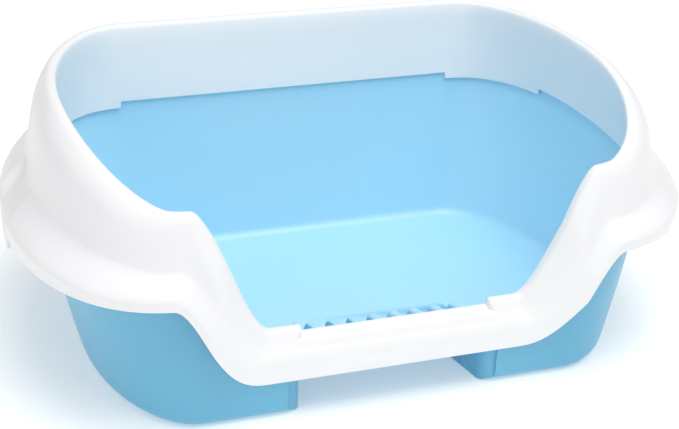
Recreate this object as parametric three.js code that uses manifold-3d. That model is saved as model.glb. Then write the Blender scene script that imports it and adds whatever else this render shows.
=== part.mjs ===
// An open cat litter box: a deep tray with a low front entry, and a high splash
// guard that drops over the tray's rim and lifts off for cleaning.
// Millimetres, +Z up, front towards -Y, origin on the floor under the middle.
import * as THREE from 'three';
import { mergeVertices } from 'three/addons/utils/BufferGeometryUtils.js';
import Module from 'manifold-3d';

const wasm = await Module();
wasm.setup();

// ---- driving dimensions -------------------------------------------------
const WALL = 2.6;              // tray wall
const SHELL = 2.4;             // guard wall
const CLEARANCE = 0.6;         // guard flange to tray wall
const SEAM_Z = 140;            // lower edge of the guard's inner flange
const TRAY_TOP_Z = 146.5;      // tray rim at the back and sides
const CREST_Z = 216;           // top of the guard
const SKIRT_Z = 121;           // lower edge of the guard's skirt
const ENTRY_CREST_Z = 78;      // top of the guard at the entry
const ENTRY_SKIRT_Z = 36;      // lower edge of the guard at the entry
const SHOULDER_Z = 184;        // guard top beside the entry
const FLOOR_Z = 5;             // inside floor of the tray
const RIM_BELOW_CREST = 25;    // tray rim under the guard at the entry
const FLANGE_BELOW_CREST = 31;
const SLOT_RISE = 6.1;         // long slots in the inner flange
const BACK_SLOT_HALF = 157;
const SIDE_SLOT_FRONT = 0.72;  // along the front corner
const SIDE_SLOT_BACK = 0.4;    // along the back corner
const ENTRY_SLOT_HALF = 77;
const ENTRY_SLOT_DROP = 6;
const RECESS_HALF = 75;        // finger recess under the entry, at its mouth
const RECESS_BACK_HALF = 64;
const RECESS_DEPTH = 68;
const RECESS_HEIGHT = 37;
const RECESS_ROUND = 12;       // upright edges of the mouth and back corners
const RIB_COUNT = 8;
const RIB_PITCH = 17.2;
const RIB_WIDTH = 8;
const RIB_FRONT_Y = -146;      // just behind the guard's flange
const RIB_BACK_Y = -117;
const RIB_NOSE = 12;           // length of the rounded back end
const RIB_TOP_Z = 68;
const RIB_FALL = 6;            // drop of the rib's top, front to nose
const HANDLE_DROP = 14;        // lifting lips at the sides of the skirt
const HANDLE_HALF = 34;
const HANDLE_Y = -6;

// Half outlines, front middle to back middle: front straight, corner, side
// bulge, corner, back straight.
const SEAM = { xf: 150, yf: -158, xs: 245, ys: -15, xb: 158, yb: 151, k: 0.64 };
const CREST = { xf: 150, yf: -150, xs: 229, ys: 5, xb: 152, yb: 156, k: 0.57 };
const BASE = { xf: 150, yf: -157, xs: 220, ys: -24, xb: 140, yb: 125, k: 0.54 };
const ENTRY = { xf: 150, yf: -145, xs: 214, ys: -18, xb: 132, yb: 125, k: 0.6 };
const SKIRT = { xf: 165, yf: -183, xs: 279, ys: -16, xb: 148, yb: 184.3, k: 0.6 };
const LEAN_TOP_Z = 80;         // below this the front of the skirt leans inward
const SKIRT_LEAN = 0.41;       // inward per millimetre of drop
const WALL_BOW = 1.5;          // the tray's walls bow outward, 1 would be straight
const FOOT_ROUND = 12;         // tray wall to floor, outside
const FLOOR_ROUND = 8;         // and inside
const WALL_RINGS = 5;
const ENTRY_SWELL = 9;         // extra fullness of the guard beside the entry

// Outer side of the guard from crest to hem: share of the way out from the rim
// to the hem, extra fullness, and share of the height above the hem. One set
// for the low sill at the entry, one for the high sides and back.
const LOW_SIDE = [
  [0.62, 3, 0.81], [0.8, 4, 0.67], [0.92, 5, 0.57], [1, 5, 0.42], [1, 2.5, 0.22], [1, 0, 0],
];
const TALL_SIDE = [
  [0.37, 0, 0.85], [0.56, 0, 0.43], [0.61, 0, 0.36], [1, 0, 0.13], [1, 0, 0.08], [1, 0, 0],
];
// Rolled crest: distance out from the inner face, and drop below the top.
const CREST_ROLL = [[0, 4], [1.6, 0.8], [5, 0], [9, 1.4]];

const mix = (a, b, t) => a + (b - a) * t;
const clamp01 = (t) => Math.min(1, Math.max(0, t));
const smooth = (t) => clamp01(t) ** 2 * (3 - 2 * clamp01(t));
const ramp = (x, from, to) => smooth((x - from) / (to - from));

function mixOutline(a, b, t) {
  const out = {};
  for (const key of Object.keys(a)) out[key] = mix(a[key], b[key], t);
  return out;
}

// ---- stations round the rim ---------------------------------------------
// A station is a place on the half outline: leg 0 is the front straight,
// legs 1 and 2 the two corners, leg 3 the back straight.
function stationsOfHalf() {
  const list = [];
  const add = (leg, count, from = 0, to = 1) => {
    for (let i = 0; i < count; i += 1) list.push({ leg, t: mix(from, to, i / count) });
  };
  const slot = ENTRY_SLOT_HALF / SEAM.xf;
  add(0, 2, 0, slot - 0.004);
  add(0, 1, slot - 0.004, slot + 0.004);
  add(0, 9, slot + 0.004, 1);
  add(1, 13);
  add(2, 13);
  const back = BACK_SLOT_HALF / SEAM.xb;
  add(3, 1, 0, 1 - back);
  add(3, 1, 1 - back, 1.01 - back);
  add(3, 3, 1.01 - back, 1);
  return list;
}

const bezier = (a, b, c, d, t) => a * (1 - t) ** 3 + 3 * b * t * (1 - t) ** 2
  + 3 * c * t * t * (1 - t) + d * t ** 3;

function outlinePoint(o, { leg, t }) {
  if (leg === 0) return new THREE.Vector2(o.xf * t, o.yf);
  if (leg === 3) return new THREE.Vector2(o.xb * (1 - t), o.yb);
  if (leg === 1) {
    return new THREE.Vector2(
      bezier(o.xf, mix(o.xf, o.xs, o.k), o.xs, o.xs, t),
      bezier(o.yf, o.yf, mix(o.ys, o.yf, o.k), o.ys, t),
    );
  }
  return new THREE.Vector2(
    bezier(o.xs, o.xs, mix(o.xb, o.xs, o.k), o.xb, t),
    bezier(o.ys, mix(o.ys, o.yb, o.k), o.yb, o.yb, t),
  );
}

function outwardNormal(o, { leg, t }) {
  if (leg === 0) return new THREE.Vector2(0, -1);
  if (leg === 3) return new THREE.Vector2(0, 1);
  const h = 0.01;
  const a = outlinePoint(o, { leg, t: Math.max(0, t - h) });
  const b = outlinePoint(o, { leg, t: Math.min(1, t + h) });
  const d = b.sub(a).normalize();
  return new THREE.Vector2(d.y, -d.x);
}

const offsetPoint = (o, s, d) => outlinePoint(o, s).addScaledVector(outwardNormal(SEAM, s), d);

// Whole ring of stations, starting at the front middle and running
// anticlockwise; the left half mirrors the right.
const HALF = stationsOfHalf();
const END = { leg: 3, t: 1 };
const RING = [
  ...HALF.map((s) => ({ ...s, side: 1 })),
  { ...END, side: 1 },
  ...HALF.slice(1).reverse().map((s) => ({ ...s, side: -1 })),
];

// ---- heights along the rim -----------------------------------------------
// x is the seam outline's distance from the middle.
function crestHeight(s) {
  const p = outlinePoint(SEAM, s);
  if (s.leg >= 2) return CREST_Z;
  const rise = ramp(p.x, 99, 161);
  const lift = clamp01((p.x - 178) / (SEAM.xs - 178));
  return mix(mix(ENTRY_CREST_Z, SHOULDER_Z, rise), CREST_Z, lift ** 1.3);
}

function skirtHeight(s) {
  const p = outlinePoint(SKIRT, s);
  if (s.leg === 0 || (s.leg === 1 && p.x < 200)) {
    const rise = smooth(clamp01((p.x - 100) / 78) ** 1.53);
    return mix(ENTRY_SKIRT_Z, SKIRT_Z, rise);
  }
  if (s.leg === 3) return SKIRT_Z;
  return SKIRT_Z - HANDLE_DROP * (1 - ramp(Math.abs(p.y - HANDLE_Y), HANDLE_HALF - 8, HANDLE_HALF));
}

function trayHeight(s) {
  return Math.min(TRAY_TOP_Z, crestHeight(s) - RIM_BELOW_CREST);
}

function inEntrySlot(s) {
  return s.leg === 0 && outlinePoint(SEAM, s).x < ENTRY_SLOT_HALF;
}

function inSideSlot(s) {
  return (s.leg === 1 && s.t > SIDE_SLOT_FRONT) || (s.leg === 2 && s.t < SIDE_SLOT_BACK);
}

function flangeHeight(s) {
  const low = Math.min(SEAM_Z, crestHeight(s) - FLANGE_BELOW_CREST);
  const p = outlinePoint(SEAM, s);
  if (inEntrySlot(s)) return crestHeight(s) - ENTRY_SLOT_DROP - 8;
  if (s.leg === 3 && p.x <= BACK_SLOT_HALF) return low + SLOT_RISE;
  return inSideSlot(s) ? low + SLOT_RISE : low;
}

// Inside face of the guard, and inside face of the tray, as outlines by height.
function guardFace(z) {
  if (z >= SEAM_Z) return mixOutline(SEAM, CREST, (z - SEAM_Z) / (CREST_Z - SEAM_Z));
  return mixOutline(SEAM, ENTRY, (SEAM_Z - z) / SEAM_Z);
}

const trayFace = (z) => mixOutline(SEAM, BASE, Math.max(0, (SEAM_Z - z) / SEAM_Z) ** WALL_BOW);

// ---- guard -----------------------------------------------------------------
// The section is an upside-down U: inner flange, crest, outer wall, skirt.
function guardSection(s) {
  const top = crestHeight(s) - (inEntrySlot(s) ? ENTRY_SLOT_DROP : 0);
  const foot = skirtHeight(s);
  const flange = flangeHeight(s);
  const tall = clamp01((crestHeight(s) - 90) / (SHOULDER_Z - 90));
  const normal = outwardNormal(SEAM, s);
  const face = (z, out = 0) => outlinePoint(guardFace(z), s)
    .addScaledVector(normal, out - CLEARANCE - SHELL);
  const lean = Math.max(0, LEAN_TOP_Z - foot) * SKIRT_LEAN;
  const edge = outlinePoint({ ...SKIRT, yf: SKIRT.yf + lean }, s);
  const rim = face(top);
  const swell = ENTRY_SWELL * 4 * tall * (1 - tall);
  const halfWay = mix(flange, top - CREST_ROLL[0][1], 0.5);
  const path = [[face(flange), flange], [face(halfWay), halfWay]];
  for (const [out, drop] of CREST_ROLL) path.push([face(top - drop, out), top - drop]);
  LOW_SIDE.forEach((low, i) => {
    const [share, full, rise] = low.map((value, j) => mix(value, TALL_SIDE[i][j], tall));
    const place = rim.clone().lerp(edge, share);
    path.push([place.addScaledVector(normal, full + swell * (1 - share)), mix(foot, top, rise)]);
  });
  return path.map(([place, z]) => {
    const out = place.dot(normal);
    return { out, z, along: place.clone().addScaledVector(normal, -out) };
  });
}

// Thicken a section path inwards by the shell thickness.
function shellLoop(section) {
  const turned = section.map((p, i) => {
    const a = section[Math.max(0, i - 1)];
    const b = section[Math.min(section.length - 1, i + 1)];
    const d = new THREE.Vector2(b.out - a.out, b.z - a.z).normalize();
    return { out: p.out + d.y * SHELL, z: p.z - d.x * SHELL, along: p.along };
  });
  turned[0].z = section[0].z;
  turned[turned.length - 1].z = section[section.length - 1].z;
  return [...section, ...turned.reverse()];
}

function ringMesh(loops) {
  const rows = loops.length;
  const cols = loops[0].length;
  const position = loops.flat().flatMap((v) => [v.x, v.y, v.z]);
  const index = [];
  for (let i = 0; i < rows; i += 1) {
    for (let j = 0; j < cols; j += 1) {
      const a = i * cols + j;
      const b = i * cols + ((j + 1) % cols);
      const c = ((i + 1) % rows) * cols + j;
      const d = ((i + 1) % rows) * cols + ((j + 1) % cols);
      index.push(a, b, c, b, d, c);
    }
  }
  const geometry = new THREE.BufferGeometry();
  geometry.setAttribute('position', new THREE.Float32BufferAttribute(position, 3));
  geometry.setIndex(index);
  return geometry;
}

function guardGeometry() {
  const loops = RING.map((s) => {
    const normal = outwardNormal(SEAM, s);
    return shellLoop(guardSection(s)).map((p) => {
      const v = p.along.clone().addScaledVector(normal, p.out);
      return new THREE.Vector3(v.x * s.side, v.y, p.z);
    });
  });
  return ringMesh(loops);
}

// ---- solids ------------------------------------------------------------------
function toSolid(geometry) {
  const bare = geometry.clone();
  bare.deleteAttribute('normal');
  bare.deleteAttribute('uv');
  const merged = mergeVertices(bare, 1e-4);
  return new wasm.Manifold(new wasm.Mesh({
    numProp: 3,
    vertProperties: new Float32Array(merged.attributes.position.array),
    triVerts: new Uint32Array(merged.index.array),
  }));
}

function toGeometry(solid) {
  const mesh = solid.getMesh();
  const geometry = new THREE.BufferGeometry();
  geometry.setAttribute('position', new THREE.BufferAttribute(mesh.vertProperties, 3));
  geometry.setIndex(new THREE.BufferAttribute(mesh.triVerts, 1));
  geometry.computeVertexNormals();
  return geometry;
}

// A solid from stacked rings, closed by a fan at the bottom and at the top.
function stackedSolid(rings, bottomZ, topZ) {
  const cols = rings[0].length;
  const position = rings.flat().flatMap((v) => [v.x, v.y, v.z]);
  const bottom = position.length / 3;
  position.push(0, 0, bottomZ, 0, 0, topZ);
  const index = [];
  for (let j = 0; j < cols; j += 1) {
    const k = (j + 1) % cols;
    for (let i = 0; i < rings.length - 1; i += 1) {
      const a = i * cols;
      const b = (i + 1) * cols;
      index.push(a + j, a + k, b + k, a + j, b + k, b + j);
    }
    const last = (rings.length - 1) * cols;
    index.push(bottom, k, j, bottom + 1, last + j, last + k);
  }
  const geometry = new THREE.BufferGeometry();
  geometry.setAttribute('position', new THREE.Float32BufferAttribute(position, 3));
  geometry.setIndex(index);
  return toSolid(geometry);
}

function trayRing(inset, height) {
  return RING.map((s) => {
    const z = height(s);
    const p = offsetPoint(trayFace(z), s, inset);
    return new THREE.Vector3(p.x * s.side, p.y, z);
  });
}

// Foot of a wall: the rings climb a quarter round into the wall.
function wallRings(offset, floor, radius) {
  const rings = [];
  for (let i = 0; i <= 4; i += 1) {
    const a = (i / 4) * Math.PI / 2;
    rings.push(trayRing(offset - radius * (1 - Math.sin(a)), () => floor + radius * (1 - Math.cos(a))));
  }
  return rings;
}

// The recess narrows towards the back, and its mouth opens round both feet.
function recessSolid(grow) {
  const mouth = RECESS_HALF + grow;
  const back = RECESS_BACK_HALF + grow;
  const frontY = BASE.yf + RECESS_ROUND;
  const backY = BASE.yf + RECESS_DEPTH + grow;
  const round = RECESS_ROUND - grow;
  const shape = new THREE.Shape();
  shape.moveTo(-mouth - round, BASE.yf - 40);
  shape.lineTo(mouth + round, BASE.yf - 40);
  shape.lineTo(mouth + round, frontY - round);
  shape.absarc(mouth + round, frontY, round, -Math.PI / 2, -Math.PI, true);
  shape.lineTo(back, backY - RECESS_ROUND);
  shape.absarc(back - RECESS_ROUND, backY - RECESS_ROUND, RECESS_ROUND, 0, Math.PI / 2);
  shape.absarc(RECESS_ROUND - back, backY - RECESS_ROUND, RECESS_ROUND, Math.PI / 2, Math.PI);
  shape.lineTo(-mouth, frontY);
  shape.absarc(-mouth - round, frontY, round, 0, -Math.PI / 2, true);
  shape.closePath();
  const depth = RECESS_HEIGHT + grow + 10;
  const block = new THREE.ExtrudeGeometry(shape, { depth, bevelEnabled: false, curveSegments: 5 });
  block.translate(0, 0, -10);
  return toSolid(block);
}

// A rib stands on the step over the recess; its top falls towards the back and
// ends in a round nose.
function ribSolid(x) {
  const nose = RIB_BACK_Y - RIB_NOSE;
  const shape = new THREE.Shape();
  shape.moveTo(RIB_FRONT_Y, RECESS_HEIGHT);
  shape.lineTo(RIB_FRONT_Y, RIB_TOP_Z);
  for (let i = 0; i <= 4; i += 1) {
    const a = (i / 4) * Math.PI / 2;
    const top = RIB_TOP_Z - RIB_FALL;
    shape.lineTo(nose + RIB_NOSE * Math.sin(a), mix(RECESS_HEIGHT, top, Math.cos(a)));
  }
  shape.closePath();
  const bar = new THREE.ExtrudeGeometry(shape, { depth: RIB_WIDTH, bevelEnabled: false });
  bar.rotateX(Math.PI / 2);
  bar.rotateZ(Math.PI / 2);
  bar.translate(x - RIB_WIDTH / 2, 0, 0);
  return toSolid(bar);
}

// Rings of one face of the tray: the rounded foot, then the bowed wall.
function trayRings(offset, floor, radius) {
  const rings = wallRings(offset, floor, radius);
  for (let i = 1; i <= WALL_RINGS; i += 1) {
    rings.push(trayRing(offset, (s) => mix(floor + radius, trayHeight(s), i / WALL_RINGS)));
  }
  return rings;
}

function trayGeometry() {
  const outer = stackedSolid(trayRings(WALL, 0, FOOT_ROUND), 0, TRAY_TOP_Z);
  const inside = trayRings(0, FLOOR_Z, FLOOR_ROUND);
  const lid = inside[inside.length - 1].map((v) => new THREE.Vector3(v.x, v.y, CREST_Z));
  const hollow = stackedSolid([...inside, lid], FLOOR_Z, CREST_Z);
  let tray = outer.subtract(hollow).add(recessSolid(WALL).intersect(outer));
  for (let i = 0; i < RIB_COUNT; i += 1) {
    tray = tray.add(ribSolid((i - (RIB_COUNT - 1) / 2) * RIB_PITCH));
  }
  return toGeometry(tray.subtract(recessSolid(0)));
}

// ---- assembly ------------------------------------------------------------------
function plastic(color) {
  return new THREE.MeshStandardMaterial({ color, roughness: 0.35, metalness: 0 });
}

const litterBox = new THREE.Group();

const tray = new THREE.Mesh(trayGeometry(), plastic(0x8fd2f4));
tray.name = 'tray';
litterBox.add(tray);

const guard = new THREE.Mesh(guardGeometry(), plastic(0xf4f5f7));
guard.name = 'splash_guard';
litterBox.add(guard);

export default litterBox;
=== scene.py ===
# %% [markdown]
# # An open cat litter box with a lift-off splash guard
#
# Two plastic mouldings make the box. A sky-blue tray holds the litter. A white guard
# drops over the tray's rim, stands high at the back and sides, and dips at the front so
# that the cat can step in. The CAD model gives the size of both, and this script makes
# the fine, smooth surfaces that a moulding has.

# %% Load the frame
import math

import bpy
import bmesh
import numpy as np
from mathutils import Matrix, Vector


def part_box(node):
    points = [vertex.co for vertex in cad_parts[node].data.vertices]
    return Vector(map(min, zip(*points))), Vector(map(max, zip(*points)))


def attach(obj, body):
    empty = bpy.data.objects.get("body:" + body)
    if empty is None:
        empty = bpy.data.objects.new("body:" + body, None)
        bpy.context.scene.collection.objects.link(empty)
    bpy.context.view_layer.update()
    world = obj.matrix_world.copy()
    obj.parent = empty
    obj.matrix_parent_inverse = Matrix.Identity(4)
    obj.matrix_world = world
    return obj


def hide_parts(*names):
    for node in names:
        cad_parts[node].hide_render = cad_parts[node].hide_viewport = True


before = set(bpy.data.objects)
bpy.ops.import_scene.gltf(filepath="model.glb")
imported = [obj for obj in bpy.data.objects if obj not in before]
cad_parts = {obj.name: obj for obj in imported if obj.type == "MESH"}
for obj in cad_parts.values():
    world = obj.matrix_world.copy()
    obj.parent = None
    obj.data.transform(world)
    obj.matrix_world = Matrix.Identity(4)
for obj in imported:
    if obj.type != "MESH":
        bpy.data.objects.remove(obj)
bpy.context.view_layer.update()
tray_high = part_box("tray")[1]
guard_low, guard_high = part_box("splash_guard")
print("tray", [round(v, 4) for v in tray_high], "guard", [round(v, 4) for v in guard_high])

# %% [markdown]
# ## Camera
#
# The camera comes first, because it decides which surfaces need the most care. It stands
# in front and to the left, above the crest, and looks down into the tray. It is rolled by
# two degrees; other small rolls do about as well, so this is a choice. Its place is given
# from the floor under the middle of the box, and its direction as a turn, a dip and a
# roll.

# %% Camera
CAMERA_PLACE = Vector((-0.3384, -1.0051, 0.6267))
CAMERA_TURN = math.radians(18.81)
CAMERA_DIP = math.radians(27.03)
CAMERA_ROLL = math.radians(2.0)
LENS_MM = 73.3
SENSOR_MM = 36.0


def make_camera():
    ahead = Vector((math.sin(CAMERA_TURN) * math.cos(CAMERA_DIP),
                    math.cos(CAMERA_TURN) * math.cos(CAMERA_DIP),
                    -math.sin(CAMERA_DIP)))
    level = Vector((math.cos(CAMERA_TURN), -math.sin(CAMERA_TURN), 0.0))
    above = level.cross(ahead)
    right = level * math.cos(CAMERA_ROLL) + above * math.sin(CAMERA_ROLL)
    up = right.cross(ahead)
    data = bpy.data.cameras.new("camera")
    data.lens = LENS_MM
    data.sensor_width = SENSOR_MM
    camera = bpy.data.objects.new("camera", data)
    axes = Matrix((right, up, -ahead)).transposed().to_4x4()
    camera.matrix_world = Matrix.Translation(CAMERA_PLACE) @ axes
    bpy.context.collection.objects.link(camera)
    bpy.context.scene.camera = camera
    return camera


camera = make_camera()
print("camera", [round(v, 3) for v in camera.location])

# %% [markdown]
# ## Driving dimensions
#
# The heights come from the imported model, and what the model's boxes can't say is named
# here. Everything is in metres. Both mouldings follow the same kind of outline: a
# straight front, a round corner, a bulged side, another round corner and a straight
# back. Six numbers and a fullness say it, for one half; the other half mirrors it.

# %% Dimensions
CREST_Z = guard_high[2]
ENTRY_SKIRT_Z = guard_low[2]
TRAY_TOP_Z = tray_high[2]
SEAM_Z = TRAY_TOP_Z - 0.0065
SKIRT_Z = CREST_Z - 0.095
SHOULDER_Z = CREST_Z - 0.032
ENTRY_CREST_Z = CREST_Z - 0.138
FLOOR_Z = 0.005
WALL = 0.0026
SHELL = 0.0024
CLEARANCE = 0.0006
RIM_BELOW_CREST = 0.025
FLANGE_BELOW_CREST = 0.031
SLOT_RISE = 0.0061
BACK_SLOT_HALF = 0.157
SIDE_SLOT_FRONT = 0.72
SIDE_SLOT_BACK = 0.40
ENTRY_SLOT_HALF = 0.077
ENTRY_SLOT_DROP = 0.006
ENTRY_SWELL = 0.009
SKIRT_LEAN = 0.41
RISE_FROM_X = 0.099
RISE_TO_X = 0.161
LIFT_FROM_X = 0.178
LIFT_EASE = 1.3
HEM_FROM_X = 0.100
HEM_RUN = 0.078
HEM_EASE = 1.53
HEM_RISEN_X = 0.2
TALL_FROM_Z = 0.090
SILL_FLANGE = 0.008
LEAN_TOP_Z = 0.080
WALL_BOW = 1.5
HANDLE_DROP = 0.014
HANDLE_HALF = 0.034
HANDLE_EASE = 0.008
HANDLE_Y = -0.006


def outline(front_x, front_y, side_x, side_y, back_x, back_y, fullness):
    return np.array([front_x, front_y, side_x, side_y, back_x, back_y, fullness])


SEAM = outline(0.150, -0.158, 0.245, -0.015, 0.158, 0.151, 0.64)
CREST = outline(0.150, -0.150, 0.229, 0.005, 0.152, 0.156, 0.57)
BASE = outline(0.150, -0.157, 0.220, -0.024, 0.140, 0.125, 0.54)
ENTRY = outline(0.150, -0.145, 0.214, -0.018, 0.132, 0.125, 0.60)
SKIRT = outline(0.165, -0.183, 0.279, -0.016, 0.148, 0.1843, 0.60)
print("guard stands", round(CREST_Z, 3), "m high")

# %% [markdown]
# ## Outlines
#
# A station is a place along the half outline: a leg, and how far along it. The corners
# are cubic curves, so a station can be asked for at any fineness.

# %% Outline points
def mix(a, b, t):
    return a + (b - a) * t


def clamp01(t):
    return min(1.0, max(0.0, t))


def smooth(t):
    t = clamp01(t)
    return t * t * (3.0 - 2.0 * t)


def ramp(x, start, end):
    return smooth((x - start) / (end - start))


def cubic(a, b, c, d, t):
    u = 1.0 - t
    return a * u ** 3 + 3 * b * t * u * u + 3 * c * t * t * u + d * t ** 3


def outline_point(o, station):
    leg, t = station
    front_x, front_y, side_x, side_y, back_x, back_y, k = o
    if leg == 0:
        return np.array([front_x * t, front_y])
    if leg == 3:
        return np.array([back_x * (1.0 - t), back_y])
    if leg == 1:
        return np.array([cubic(front_x, mix(front_x, side_x, k), side_x, side_x, t),
                         cubic(front_y, front_y, mix(side_y, front_y, k), side_y, t)])
    return np.array([cubic(side_x, side_x, mix(back_x, side_x, k), back_x, t),
                     cubic(side_y, mix(side_y, back_y, k), back_y, back_y, t)])


def outward(station):
    leg, t = station
    if leg == 0:
        return np.array([0.0, -1.0])
    if leg == 3:
        return np.array([0.0, 1.0])
    step = 0.01
    a = outline_point(SEAM, (leg, max(0.0, t - step)))
    b = outline_point(SEAM, (leg, min(1.0, t + step)))
    d = (b - a) / np.linalg.norm(b - a)
    return np.array([d[1], -d[0]])


# %% [markdown]
# ## Stations round the rim
#
# The rim is walked once round, from the front middle. Most stations are evenly spread;
# where the inner flange steps up into a long slot, two stations stand almost together,
# so that the step stays crisp.

# %% Stations
def spread(leg, start, end, count):
    return [(leg, mix(start, end, i / count)) for i in range(count)]


def half_stations():
    entry = ENTRY_SLOT_HALF / SEAM[0]
    back = 1.0 - BACK_SLOT_HALF / SEAM[4]
    crisp = 0.006
    stations = spread(0, 0.0, entry - crisp, 16) + spread(0, entry - crisp, entry + crisp, 3)
    stations += spread(0, entry + crisp, 1.0, 36)
    for leg, step in ((1, SIDE_SLOT_FRONT), (2, SIDE_SLOT_BACK)):
        stations += spread(leg, 0.0, step, 40) + spread(leg, step, step + crisp / 2, 2)
        stations += spread(leg, step + crisp / 2, 1.0, 30)
    stations += spread(3, 0.0, back, 3) + spread(3, back, back + crisp, 2)
    stations += spread(3, back + crisp, 1.0, 24)
    return stations


HALF = half_stations()
RING = [(s, 1.0) for s in HALF] + [((3, 1.0), 1.0)] + [(s, -1.0) for s in HALF[:0:-1]]
print("stations", len(RING))

# %% [markdown]
# ## Heights along the rim
#
# The crest is low at the entry, climbs an S-curve to a shoulder, and rises again along
# the side to full height. The skirt's lower edge follows with an S-curve of its own, and
# drops into a lifting lip at each side.

# %% Heights
def in_entry_slot(station):
    return station[0] == 0 and outline_point(SEAM, station)[0] < ENTRY_SLOT_HALF


def crest_height(station):
    if station[0] >= 2:
        return CREST_Z
    x = outline_point(SEAM, station)[0]
    rise = ramp(x, RISE_FROM_X, RISE_TO_X)
    lift = clamp01((x - LIFT_FROM_X) / (SEAM[2] - LIFT_FROM_X))
    return mix(mix(ENTRY_CREST_Z, SHOULDER_Z, rise), CREST_Z, lift ** LIFT_EASE)


def skirt_height(station):
    leg = station[0]
    x, y = outline_point(SKIRT, station)
    if leg == 0 or (leg == 1 and x < HEM_RISEN_X):
        rise = smooth(clamp01((x - HEM_FROM_X) / HEM_RUN) ** HEM_EASE)
        return mix(ENTRY_SKIRT_Z, SKIRT_Z, rise)
    if leg == 3:
        return SKIRT_Z
    lip = 1.0 - ramp(abs(y - HANDLE_Y), HANDLE_HALF - HANDLE_EASE, HANDLE_HALF)
    return SKIRT_Z - HANDLE_DROP * lip


def tray_height(station):
    return min(TRAY_TOP_Z, crest_height(station) - RIM_BELOW_CREST)


def flange_height(station):
    leg, t = station
    if in_entry_slot(station):
        return crest_height(station) - ENTRY_SLOT_DROP - SILL_FLANGE
    low = min(SEAM_Z, crest_height(station) - FLANGE_BELOW_CREST)
    on_back = leg == 3 and outline_point(SEAM, station)[0] <= BACK_SLOT_HALF
    on_side = (leg == 1 and t > SIDE_SLOT_FRONT) or (leg == 2 and t < SIDE_SLOT_BACK)
    return low + SLOT_RISE if on_back or on_side else low


def guard_face(z):
    if z >= SEAM_Z:
        return mix(SEAM, CREST, (z - SEAM_Z) / (CREST_Z - SEAM_Z))
    return mix(SEAM, ENTRY, (SEAM_Z - z) / SEAM_Z)


def tray_face(z):
    return mix(SEAM, BASE, max(0.0, (SEAM_Z - z) / SEAM_Z) ** WALL_BOW)


print("crest at entry", round(crest_height((0, 0.0)), 4))

# %% [markdown]
# ## The guard's section
#
# Cut across, the guard is an upside-down U: an inner flange inside the tray's rim, a
# rolled crest, an outer wall that leans out and folds into a round skirt. A few points
# per station give the shape, a spline through them makes it smooth, and the path is then
# thickened by the shell's wall. A spline keeps the roll and the fold soft, which a
# bevel on a faceted shape would not.

# %% Guard section
# Each row of a side: share of the way out to the hem, extra fullness, share of the
# height from hem to crest. The low side is the sill, the tall side the back and ends.
SECTION_STEPS = 5
LOW_SIDE = np.array([(0.62, 0.003, 0.81), (0.80, 0.004, 0.67), (0.92, 0.005, 0.57),
                     (1.0, 0.005, 0.42), (1.0, 0.0025, 0.22), (1.0, 0.0, 0.0)])
TALL_SIDE = np.array([(0.37, 0.0, 0.85), (0.56, 0.0, 0.43), (0.61, 0.0, 0.36),
                      (1.0, 0.0, 0.13), (1.0, 0.0, 0.08), (1.0, 0.0, 0.0)])
CREST_ROLL = [(0.0, 0.004), (0.0016, 0.0008), (0.005, 0.0), (0.009, 0.0014)]


def guard_path(station):
    crest = crest_height(station)
    top = crest - (ENTRY_SLOT_DROP if in_entry_slot(station) else 0.0)
    foot = skirt_height(station)
    flange = flange_height(station)
    tall = clamp01((crest - TALL_FROM_Z) / (SHOULDER_Z - TALL_FROM_Z))
    normal = outward(station)

    def face(z, out=0.0):
        return outline_point(guard_face(z), station) + normal * (out - CLEARANCE - SHELL)

    hem = SKIRT.copy()
    hem[1] += max(0.0, LEAN_TOP_Z - foot) * SKIRT_LEAN
    edge = outline_point(hem, station)
    rim = face(crest)
    swell = ENTRY_SWELL * 4.0 * tall * (1.0 - tall)
    half_way = mix(flange, top - CREST_ROLL[0][1], 0.5)
    points = [(face(flange), flange), (face(half_way), half_way)]
    points += [(face(top - drop, out), top - drop) for out, drop in CREST_ROLL]
    for share, full, rise in mix(LOW_SIDE, TALL_SIDE, tall):
        place = mix(rim, edge, share) + normal * (full + swell * (1.0 - share))
        points.append((place, mix(foot, crest, rise)))
    return [(p @ normal, z, p - normal * (p @ normal)) for p, z in points], normal


def spline(rows):
    """A centripetal spline through rows of numbers, with SECTION_STEPS per span."""
    rows = np.array(rows)
    padded = np.vstack([2 * rows[0] - rows[1], rows, 2 * rows[-1] - rows[-2]])
    out = []
    for i in range(1, len(padded) - 2):
        p0, p1, p2, p3 = padded[i - 1:i + 3]
        k0, k1, k2 = (max(1e-6, np.linalg.norm(b[:2] - a[:2])) ** 0.5
                      for a, b in ((p0, p1), (p1, p2), (p2, p3)))
        for j in range(SECTION_STEPS):
            t = k0 + k1 * j / SECTION_STEPS
            a1 = mix(p0, p1, t / k0)
            a2 = mix(p1, p2, (t - k0) / k1)
            a3 = mix(p2, p3, (t - k0 - k1) / k2)
            b1 = mix(a1, a2, t / (k0 + k1))
            b2 = mix(a2, a3, (t - k0) / (k1 + k2))
            out.append(mix(b1, b2, (t - k0) / k1))
    out.append(rows[-1])
    return np.array(out)


def guard_loop(station):
    path, normal = guard_path(station)
    rows = spline([[out, z, along[0], along[1]] for out, z, along in path])
    direction = np.gradient(rows[:, :2], axis=0)
    direction /= np.linalg.norm(direction, axis=1)[:, None]
    under = rows.copy()
    under[:, 0] += direction[:, 1] * SHELL
    under[:, 1] -= direction[:, 0] * SHELL
    under[0, 1] = rows[0, 1]
    under[-1, 1] = rows[-1, 1]
    rows = np.vstack([rows, under[::-1]])
    plan = rows[:, 2:4] + normal[None, :] * rows[:, :1]
    return np.column_stack([plan, rows[:, 1]])


sample = guard_loop((2, 0.5))
print("section points", len(sample))

# %% [markdown]
# ## Building a ring of sections
#
# The sections are joined into one closed mesh, station by station. The step function
# below turns rows of points into quads, and is used for the guard and for the tray.

# %% Mesh helpers
def mirrored(points, side):
    points = points.copy()
    points[:, 0] *= side
    return points


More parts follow.
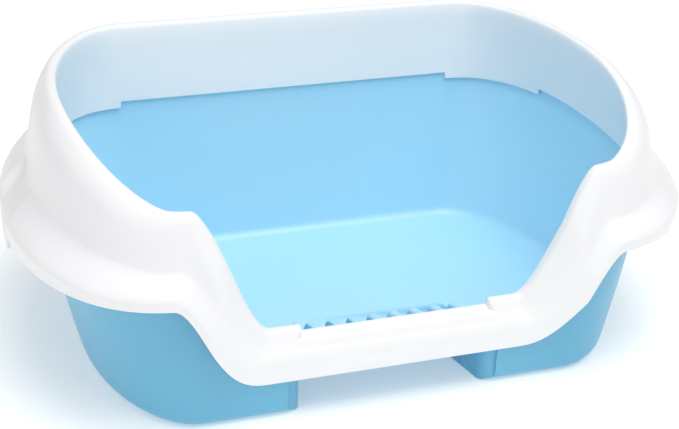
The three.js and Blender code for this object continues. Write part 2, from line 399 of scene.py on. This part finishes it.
def quads_between(rows, cols, close_rows, close_cols):
    faces = []
    for i in range(rows if close_rows else rows - 1):
        for j in range(cols if close_cols else cols - 1):
            a = i * cols + j
            b = i * cols + (j + 1) % cols
            c = ((i + 1) % rows) * cols + (j + 1) % cols
            d = ((i + 1) % rows) * cols + j
            faces.append((a, b, c, d))
    return faces


def new_piece(name, vertices, faces):
    mesh = bpy.data.meshes.new(name)
    mesh.from_pydata([tuple(v) for v in vertices], [], faces)
    mesh.validate()
    piece = bpy.data.objects.new(name, mesh)
    bpy.context.collection.objects.link(piece)
    return piece


def face_outward(piece):
    work = bmesh.new()
    work.from_mesh(piece.data)
    bmesh.ops.recalc_face_normals(work, faces=work.faces)
    work.to_mesh(piece.data)
    work.free()


def shade_smooth(piece, degrees):
    piece.data.shade_smooth()
    piece.data.set_sharp_from_angle(angle=math.radians(degrees))


# %% Guard
def make_guard():
    loops = [mirrored(guard_loop(station), side) for station, side in RING]
    count = len(loops[0])
    guard = new_piece("splash_guard_shell", np.vstack(loops),
                      quads_between(len(loops), count, True, True))
    # Painted bounce light: the inside points marked here are painted a faint blue in the
    # guard's plastic, standing in for light bounced off the blue tray.
    inside = guard.data.attributes.new("inside", "FLOAT", "POINT")
    steps_inside = 3 * SECTION_STEPS
    values = [1.0 if i % count < steps_inside else 0.0 for i in range(len(guard.data.vertices))]
    inside.data.foreach_set("value", values)
    face_outward(guard)
    shade_smooth(guard, 40)
    return guard


guard = make_guard()
print("guard faces", len(guard.data.polygons))

# %% [markdown]
# ## The tray
#
# The tray is a deep bowl with a constant wall. Its rim follows the guard's crest, always
# hidden inside it. The wall meets the floor in a small round, which is what catches the
# light along the back of the floor. Bowl and outside are each made of stacked rings.

# %% Tray
FOOT_ROUND = 0.012
FLOOR_ROUND = 0.008
ROUND_STEPS = 12
WALL_STEPS = 14


def tray_ring(inset, heights):
    rows = []
    for (station, side), z in zip(RING, heights):
        p = outline_point(tray_face(z), station) + outward(station) * inset
        rows.append([p[0] * side, p[1], z])
    return np.array(rows)


def wall_rings(offset, floor, radius):
    rings = []
    for i in range(ROUND_STEPS + 1):
        a = i / ROUND_STEPS * math.pi / 2
        inset = offset - radius * (1.0 - math.sin(a))
        z = floor + radius * (1.0 - math.cos(a))
        rings.append(tray_ring(inset, [z] * len(RING)))
    start = floor + radius
    for i in range(1, WALL_STEPS + 1):
        heights = [mix(start, tray_height(station), i / WALL_STEPS) for station, side in RING]
        rings.append(tray_ring(offset, heights))
    return rings


def closed_stack(name, rings, bottom_z, top_z):
    cols = len(rings[0])
    vertices = np.vstack(rings + [[[0, 0, bottom_z], [0, 0, top_z]]])
    faces = quads_between(len(rings), cols, False, True)
    bottom = len(vertices) - 2
    last = (len(rings) - 1) * cols
    for j in range(cols):
        k = (j + 1) % cols
        faces.append((bottom, k, j))
        faces.append((bottom + 1, last + j, last + k))
    piece = new_piece(name, vertices, faces)
    face_outward(piece)
    return piece


def outside_of_tray():
    return closed_stack("tray_pan", wall_rings(WALL, 0.0, FOOT_ROUND), 0.0, TRAY_TOP_Z)


def inside_of_tray():
    rings = wall_rings(0.0, FLOOR_Z, FLOOR_ROUND)
    lid = rings[-1].copy()
    lid[:, 2] = CREST_Z
    return closed_stack("bowl_space", rings + [lid], FLOOR_Z, CREST_Z)


# %% [markdown]
# ## Finger recess, step and ribs
#
# Under the entry the tray is folded up into a recess for the fingers, and inside it the
# same fold makes a step. Eight ribs stand on the step just behind the sill, where a
# cat's paws land as it leaves. The recess has round upright edges, drawn as arcs in its
# plan, and its lower edges stay plain. Each rib is bevelled before it is joined on.

# %% Blocks for the recess and the ribs
RECESS_HALF = 0.075
RECESS_BACK_HALF = 0.064
RECESS_DEPTH = 0.068
RECESS_HEIGHT = 0.037
RECESS_ROUND = 0.012
RIB_COUNT = 8
RIB_PITCH = 0.0172
RIB_WIDTH = 0.008
RIB_FRONT_Y = -0.146
RIB_BACK_Y = -0.117
RIB_NOSE = 0.012
RIB_TOP_Z = 0.068
RIB_FALL = 0.006
RIB_ROUND = 0.0030


def apply_modifier(piece, kind, **settings):
    modifier = piece.modifiers.new(kind.lower(), kind)
    for key, value in settings.items():
        setattr(modifier, key, value)
    with bpy.context.temp_override(object=piece, active_object=piece):
        bpy.ops.object.modifier_apply(modifier=modifier.name)


def cut_or_join(piece, tool, operation):
    apply_modifier(piece, "BOOLEAN", object=tool, operation=operation, solver="EXACT")
    bpy.data.objects.remove(tool)


def prism(name, profile, axis, start, end):
    """A closed prism from a flat profile, pushed along x or z from start to end."""
    rows = []
    for place in (start, end):
        for a, b in profile:
            rows.append((a, b, place) if axis == "z" else (place, a, b))
    count = len(profile)
    faces = [tuple(range(count)), tuple(range(2 * count - 1, count - 1, -1))]
    faces += [(i, (i + 1) % count, count + (i + 1) % count, count + i) for i in range(count)]
    piece = new_piece(name, rows, faces)
    face_outward(piece)
    return piece


def arc(centre_x, centre_y, radius, start, end, count=10):
    turns = [math.radians(mix(start, end, i / count)) for i in range(count + 1)]
    return [(centre_x + radius * math.cos(a), centre_y + radius * math.sin(a)) for a in turns]


def recess_block(grow):
    mouth = RECESS_HALF + grow
    back = RECESS_BACK_HALF + grow - RECESS_ROUND
    back_y = BASE[1] + RECESS_DEPTH + grow - RECESS_ROUND
    front_y = BASE[1] + RECESS_ROUND
    lip = RECESS_ROUND - grow
    half = [(mouth + lip, front_y - 0.04)]
    half += arc(mouth + lip, front_y, lip, -90, -180)
    half += arc(back, back_y, RECESS_ROUND, 0, 90)
    plan = half + [(-x, y) for x, y in half[::-1]]
    return prism("recess_block", plan, "z", -0.01, RECESS_HEIGHT + grow)


def rib_block(x):
    nose = RIB_BACK_Y - RIB_NOSE
    side = [(RIB_FRONT_Y, RECESS_HEIGHT), (RIB_FRONT_Y, RIB_TOP_Z)]
    for i in range(9):
        a = i / 8 * math.pi / 2
        side.append((nose + RIB_NOSE * math.sin(a),
                     mix(RECESS_HEIGHT, RIB_TOP_Z - RIB_FALL, math.cos(a))))
    rib = prism("rib", side, "x", x - RIB_WIDTH / 2, x + RIB_WIDTH / 2)
    apply_modifier(rib, "BEVEL", width=RIB_ROUND, segments=4, limit_method="ANGLE",
                   angle_limit=math.radians(50))
    return rib


# %% Join the tray
def make_tray():
    tray = outside_of_tray()
    step = recess_block(WALL)
    cut_or_join(step, outside_of_tray(), "INTERSECT")
    cut_or_join(tray, inside_of_tray(), "DIFFERENCE")
    cut_or_join(tray, step, "UNION")
    for i in range(RIB_COUNT):
        cut_or_join(tray, rib_block((i - (RIB_COUNT - 1) / 2) * RIB_PITCH), "UNION")
    cut_or_join(tray, recess_block(0.0), "DIFFERENCE")
    shade_smooth(tray, 32)
    mark_bowl_for_bounce_light(tray)
    return tray


def mark_bowl_for_bounce_light(tray):
    """Mark the points of the inside surface, whose normals look towards the middle."""
    # Painted bounce light: the points marked here are painted paler in the tray's plastic,
    # standing in for light bounced round the bowl.
    bowl = tray.data.attributes.new("bowl", "FLOAT", "POINT")
    marks = []
    for v in tray.data.vertices:
        x, y, z = v.co
        facing_in = v.normal.dot(Vector((x, y, -0.2 * z))) < 0.0 and v.normal.z > -0.3
        in_recess = (z < RECESS_HEIGHT + WALL / 2 and y < BASE[1] + RECESS_DEPTH + WALL / 2
                     and (abs(x) < RECESS_HALF + WALL / 2 or y < BASE[1] + WALL / 2))
        marks.append(1.0 if facing_in and not in_recess else 0.0)
    bowl.data.foreach_set("value", marks)


tray = make_tray()
print("tray faces", len(tray.data.polygons))

# %% [markdown]
# ## Moulded plastic
#
# Both pieces are taken to be polypropylene with a fine satin surface. What tells it from
# a flat colour is small: a soft orange-peel bump from the mould, roughness that drifts
# from place to place, and, in the tray, light that spreads a little way into the plastic.
# A real moulding is most likely one colour all through. Here the inside faces get a painted
# colour of their own, painted bounce light that stands in for light the lamps don't give:
# the tray's inside is painted paler, and the guard's inside a faint blue, as if lit by light
# bounced off the blue tray.

# %% Plastic helpers
def node(tree, kind, **inputs):
    made = tree.nodes.new(kind)
    for key, value in inputs.items():
        made.inputs[key.replace("_", " ")].default_value = value
    return made


def blend_colours(tree, factor, a, b):
    """Mix two colours, each a plain colour or an earlier node's output."""
    made = tree.nodes.new("ShaderNodeMix")
    made.data_type = "RGBA"
    tree.links.new(factor, made.inputs["Factor"])
    for key, colour in (("A", a), ("B", b)):
        socket = [i for i in made.inputs if i.name == key and i.type == "RGBA"][0]
        if isinstance(colour, tuple):
            socket.default_value = (*colour, 1.0)
        else:
            tree.links.new(colour, socket)
    return [o for o in made.outputs if o.type == "RGBA"][0]


def remap(tree, value, low, high, to_low, to_high):
    made = tree.nodes.new("ShaderNodeMapRange")
    for key, number in (("From Min", low), ("From Max", high),
                        ("To Min", to_low), ("To Max", to_high)):
        made.inputs[key].default_value = number
    tree.links.new(value, made.inputs["Value"])
    return made.outputs["Result"]


def noise(tree, place, scale, detail, stretch=(1.0, 1.0, 1.0)):
    mapping = node(tree, "ShaderNodeMapping")
    mapping.inputs["Scale"].default_value = stretch
    tree.links.new(place, mapping.inputs["Vector"])
    made = node(tree, "ShaderNodeTexNoise", Scale=scale, Detail=detail)
    tree.links.new(mapping.outputs["Vector"], made.inputs["Vector"])
    return made.outputs["Fac"]


# %% One recipe for both plastics
GLOSS_DRIFT = 0.04


def plastic(name, colour, deeper, bounce_light_colour, mark, worn, roughness):
    """A satin moulded plastic.

    The colour drifts a little towards deeper, turns to a painted bounce-light colour on
    the points that the mark names, and is rubbed towards worn along the edges; the skin
    is pebbled, and fine rubbed streaks change its gloss.
    """
    material = bpy.data.materials.new(name)
    material.use_nodes = True
    tree = material.node_tree
    shader = tree.nodes["Principled BSDF"]
    shader.inputs["IOR"].default_value = 1.49
    shader.inputs["Coat Weight"].default_value = 0.10
    shader.inputs["Coat Roughness"].default_value = 0.22
    place = node(tree, "ShaderNodeTexCoord").outputs["Object"]
    drift = noise(tree, place, 9.0, 3.0)
    bounce_light_mask = node(tree, "ShaderNodeAttribute")
    bounce_light_mask.attribute_name = mark
    base = blend_colours(tree, drift, colour, deeper)
    # Painted bounce light: the marked inside points take a paler or bluer colour of their own.
    base = blend_colours(tree, bounce_light_mask.outputs["Fac"], base, bounce_light_colour)
    edge = tree.nodes.new("ShaderNodeNewGeometry").outputs["Pointiness"]
    patchy = noise(tree, place, 60.0, 4.0)
    rubbed = node(tree, "ShaderNodeMath")
    rubbed.operation = "MULTIPLY"
    tree.links.new(remap(tree, edge, 0.54, 0.62, 0.0, 0.5), rubbed.inputs[0])
    tree.links.new(remap(tree, patchy, 0.4, 0.65, 0.0, 1.0), rubbed.inputs[1])
    base = blend_colours(tree, rubbed.outputs["Value"], base, worn)
    tree.links.new(base, shader.inputs["Base Color"])
    streaks = noise(tree, place, 40.0, 3.0, stretch=(0.4, 5.0, 1.0))
    gloss = node(tree, "ShaderNodeMath")
    gloss.operation = "ADD"
    drifting = remap(tree, drift, 0.3, 0.7, roughness - GLOSS_DRIFT, roughness + GLOSS_DRIFT)
    tree.links.new(drifting, gloss.inputs[0])
    tree.links.new(remap(tree, streaks, 0.60, 0.75, 0.0, 0.10), gloss.inputs[1])
    tree.links.new(gloss.outputs["Value"], shader.inputs["Roughness"])
    skin = node(tree, "ShaderNodeBump", Strength=0.06, Distance=0.0004)
    tree.links.new(noise(tree, place, 900.0, 2.0), skin.inputs["Height"])
    waves = node(tree, "ShaderNodeBump", Strength=0.10, Distance=0.0010)
    tree.links.new(noise(tree, place, 14.0, 1.0), waves.inputs["Height"])
    tree.links.new(waves.outputs["Normal"], skin.inputs["Normal"])
    tree.links.new(skin.outputs["Normal"], shader.inputs["Normal"])
    return material, shader


# %% Tray plastic
def tray_plastic():
    # The pale inside colour is painted bounce light on the bowl's inside faces.
    material, shader = plastic(
        "sky_blue_plastic", colour=(0.152, 0.485, 0.69), deeper=(0.142, 0.47, 0.675),
        bounce_light_colour=(0.45, 0.775, 0.96), mark="bowl", worn=(0.42, 0.74, 0.93), roughness=0.36)
    shader.inputs["Subsurface Weight"].default_value = 0.12
    shader.inputs["Subsurface Radius"].default_value = (0.3, 0.7, 1.0)
    shader.inputs["Subsurface Scale"].default_value = 0.005
    return material


# %% Guard plastic
def guard_plastic():
    # The faint blue inside colour is painted bounce light from the blue tray.
    return plastic(
        "white_plastic", colour=(0.90, 0.905, 0.915), deeper=(0.88, 0.885, 0.90),
        bounce_light_colour=(0.885, 0.915, 0.935), mark="inside", worn=(0.82, 0.82, 0.82), roughness=0.34)[0]


tray.data.materials.clear()
tray.data.materials.append(tray_plastic())
guard.data.materials.append(guard_plastic())
print("materials", [m.name for m in bpy.data.materials])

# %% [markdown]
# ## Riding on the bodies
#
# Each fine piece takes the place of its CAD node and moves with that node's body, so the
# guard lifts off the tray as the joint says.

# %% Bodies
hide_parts("tray")
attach(tray, "pan")
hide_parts("splash_guard")
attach(guard, "guard")

# %% [markdown]
# ## Floor and light
#
# A pale floor and three soft lamps are enough: a wide key lamp high at the front right,
# a smaller one overhead to light the bowl, a weak one that opens the shade on the left,
# and an even world for the rest.

# %% Floor
def pale_floor():
    material = bpy.data.materials.new("pale_floor")
    material.use_nodes = True
    shader = material.node_tree.nodes["Principled BSDF"]
    shader.inputs["Base Color"].default_value = (0.95, 0.95, 0.95, 1.0)
    shader.inputs["Roughness"].default_value = 0.9
    shader.inputs["Emission Color"].default_value = (1.0, 1.0, 1.0, 1.0)
    shader.inputs["Emission Strength"].default_value = 0.30
    return material


reach = 6.0
floor = new_piece("floor", [(-reach, -reach, 0), (reach, -reach, 0), (reach, reach, 0),
                            (-reach, reach, 0)], [(0, 1, 2, 3)])
floor.data.materials.append(pale_floor())


# %% Lamps and world
def soft_lamp(name, place, target, size, watts):
    data = bpy.data.lights.new(name, "AREA")
    data.shape = "SQUARE"
    data.size = size
    data.energy = watts
    lamp = bpy.data.objects.new(name, data)
    lamp.location = place
    lamp.rotation_euler = (Vector(target) - Vector(place)).to_track_quat("-Z", "Y").to_euler()
    bpy.context.collection.objects.link(lamp)


soft_lamp("key_lamp", (0.5, -0.75, 2.0), (0.0, 0.0, 0.1), 1.5, 13.5)
soft_lamp("overhead_lamp", (0.0, -0.3, 1.5), (0.0, 0.0, 0.1), 1.1, 10.0)
soft_lamp("left_lamp", (-1.4, -0.7, 0.9), (0.0, 0.0, 0.1), 0.9, 2.2)

world = bpy.data.worlds.new("studio")
world.use_nodes = True
world.node_tree.nodes["Background"].inputs["Color"].default_value = (1.0, 1.0, 1.0, 1.0)
world.node_tree.nodes["Background"].inputs["Strength"].default_value = 0.43
bpy.context.scene.world = world
bpy.context.scene.view_settings.view_transform = "Standard"
